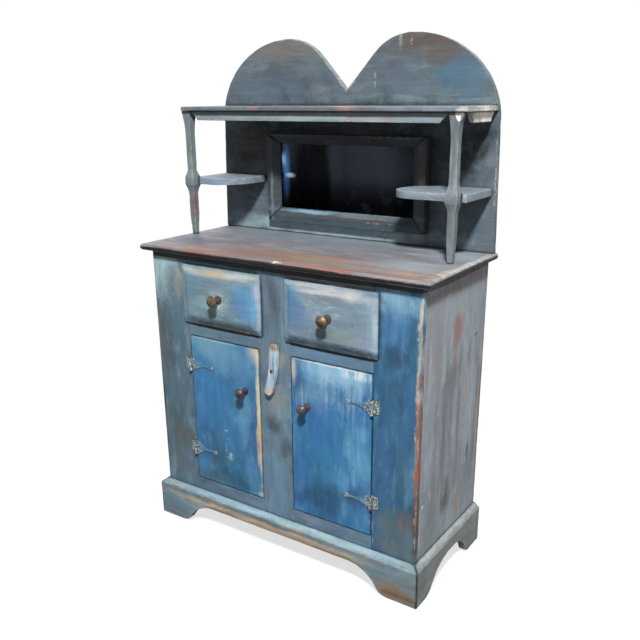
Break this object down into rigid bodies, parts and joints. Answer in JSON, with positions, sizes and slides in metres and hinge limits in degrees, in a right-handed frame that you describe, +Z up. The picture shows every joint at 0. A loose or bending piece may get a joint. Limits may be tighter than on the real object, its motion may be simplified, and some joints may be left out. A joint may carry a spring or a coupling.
{
  "type": "dry sink cabinet",
  "caption": "Painted softwood cupboard with doors and drawers on a bracket base, and a double-arched back with a top shelf on sawn posts, corner shelves and a framed mirror.",
  "frame": {"origin": "on the floor, under the middle of the whole piece's bounding box", "axes": "+Z up, -Y towards someone who stands before the doors, +X to that person's right"},
  "size_m": [0.91, 0.432, 1.407],
  "materials": {
    "case_paint": "old blue-grey paint, brushed and worn through on the edges",
    "door_paint": "brighter blue paint, streaked and rubbed",
    "drawer_paint": "pale worn paint with bare bevels",
    "worktop_paint": "grey paint worn to reddish wood along the front",
    "upper_paint": "dull slate paint",
    "button_paint": "pale paint with bare ends",
    "bare_pine": "unpainted old softwood",
    "knob_brass": "tarnished",
    "knob_wood": "dark, handled smooth",
    "hinge_iron": "old paint with bare flecks",
    "screw_iron": "dull and a little rusty",
    "mirror_glass": "old silvered plate, a little dimmed"
  },
  "bodies": {
    "cabinet": {"back_board": "upper_paint", "back_planks": "bare_pine", "bottom_rails": "case_paint", "button_screw": "screw_iron", "button_washer": "screw_iron", "centre_stile": "case_paint", "corner_blocks": "bare_pine", "corner_shelf_left": "upper_paint", "corner_shelf_right": "upper_paint", "cupboard_floor": "bare_pine", "cupboard_shelf": "bare_pine", "drawer_deck": "bare_pine", "drawer_guides": "bare_pine", "drawer_kickers": "bare_pine", "hinge_leaves_left": "hinge_iron", "hinge_leaves_right": "hinge_iron", "hinge_pins_left": "hinge_iron", "hinge_pins_right": "hinge_iron", "middle_rails": "case_paint", "mirror_backing": "bare_pine", "mirror_glass": "mirror_glass", "mirror_rail_bottom": "upper_paint", "mirror_rail_left": "upper_paint", "mirror_rail_right": "upper_paint", "mirror_rail_top": "upper_paint", "plinth_front": "case_paint", "plinth_left": "case_paint", "plinth_right": "case_paint", "post_left": "upper_paint", "post_right": "upper_paint", "shelf_apron_front": "upper_paint", "shelf_apron_left": "upper_paint", "shelf_apron_right": "upper_paint", "shelf_cleats": "bare_pine", "side_panel_left": "case_paint", "side_panel_right": "case_paint", "stile_left": "case_paint", "stile_right": "case_paint", "top_rails": "case_paint", "top_shelf": "upper_paint", "worktop": "worktop_paint"},
    "door_left": {"door_left": "door_paint", "door_left_battens": "bare_pine", "door_left_knob": "knob_wood", "hinge_straps_left": "hinge_iron"},
    "door_right": {"door_right": "door_paint", "door_right_battens": "bare_pine", "door_right_knob": "knob_wood", "hinge_straps_right": "hinge_iron"},
    "drawer_left": {"drawer_left_front": "drawer_paint", "drawer_left_sides": "bare_pine", "drawer_left_back": "bare_pine", "drawer_left_bottom": "bare_pine", "drawer_left_knob": "knob_brass"},
    "drawer_right": {"drawer_right_front": "drawer_paint", "drawer_right_sides": "bare_pine", "drawer_right_back": "bare_pine", "drawer_right_bottom": "bare_pine", "drawer_right_knob": "knob_brass"},
    "turn_button": {"turn_button": "button_paint"}
  },
  "joints": [
    {"name": "door_left", "type": "hinge", "parent": "cabinet", "child": "door_left", "pos_m": [-0.302, -0.1715, 0.3895], "axis": [0, 0, -1], "range_deg": [0, 110]},
    {"name": "door_right", "type": "hinge", "parent": "cabinet", "child": "door_right", "pos_m": [0.302, -0.1715, 0.3895], "axis": [0, 0, 1], "range_deg": [0, 110]},
    {"name": "drawer_left", "type": "slide", "parent": "cabinet", "child": "drawer_left", "axis": [0, -1, 0], "range_m": [0, 0.26]},
    {"name": "drawer_right", "type": "slide", "parent": "cabinet", "child": "drawer_right", "axis": [0, -1, 0], "range_m": [0, 0.26]},
    {"name": "turn_button", "type": "hinge", "parent": "cabinet", "child": "turn_button", "pos_m": [0, -0.1733, 0.562], "axis": [0, -1, 0], "continuous": true}
  ]
}
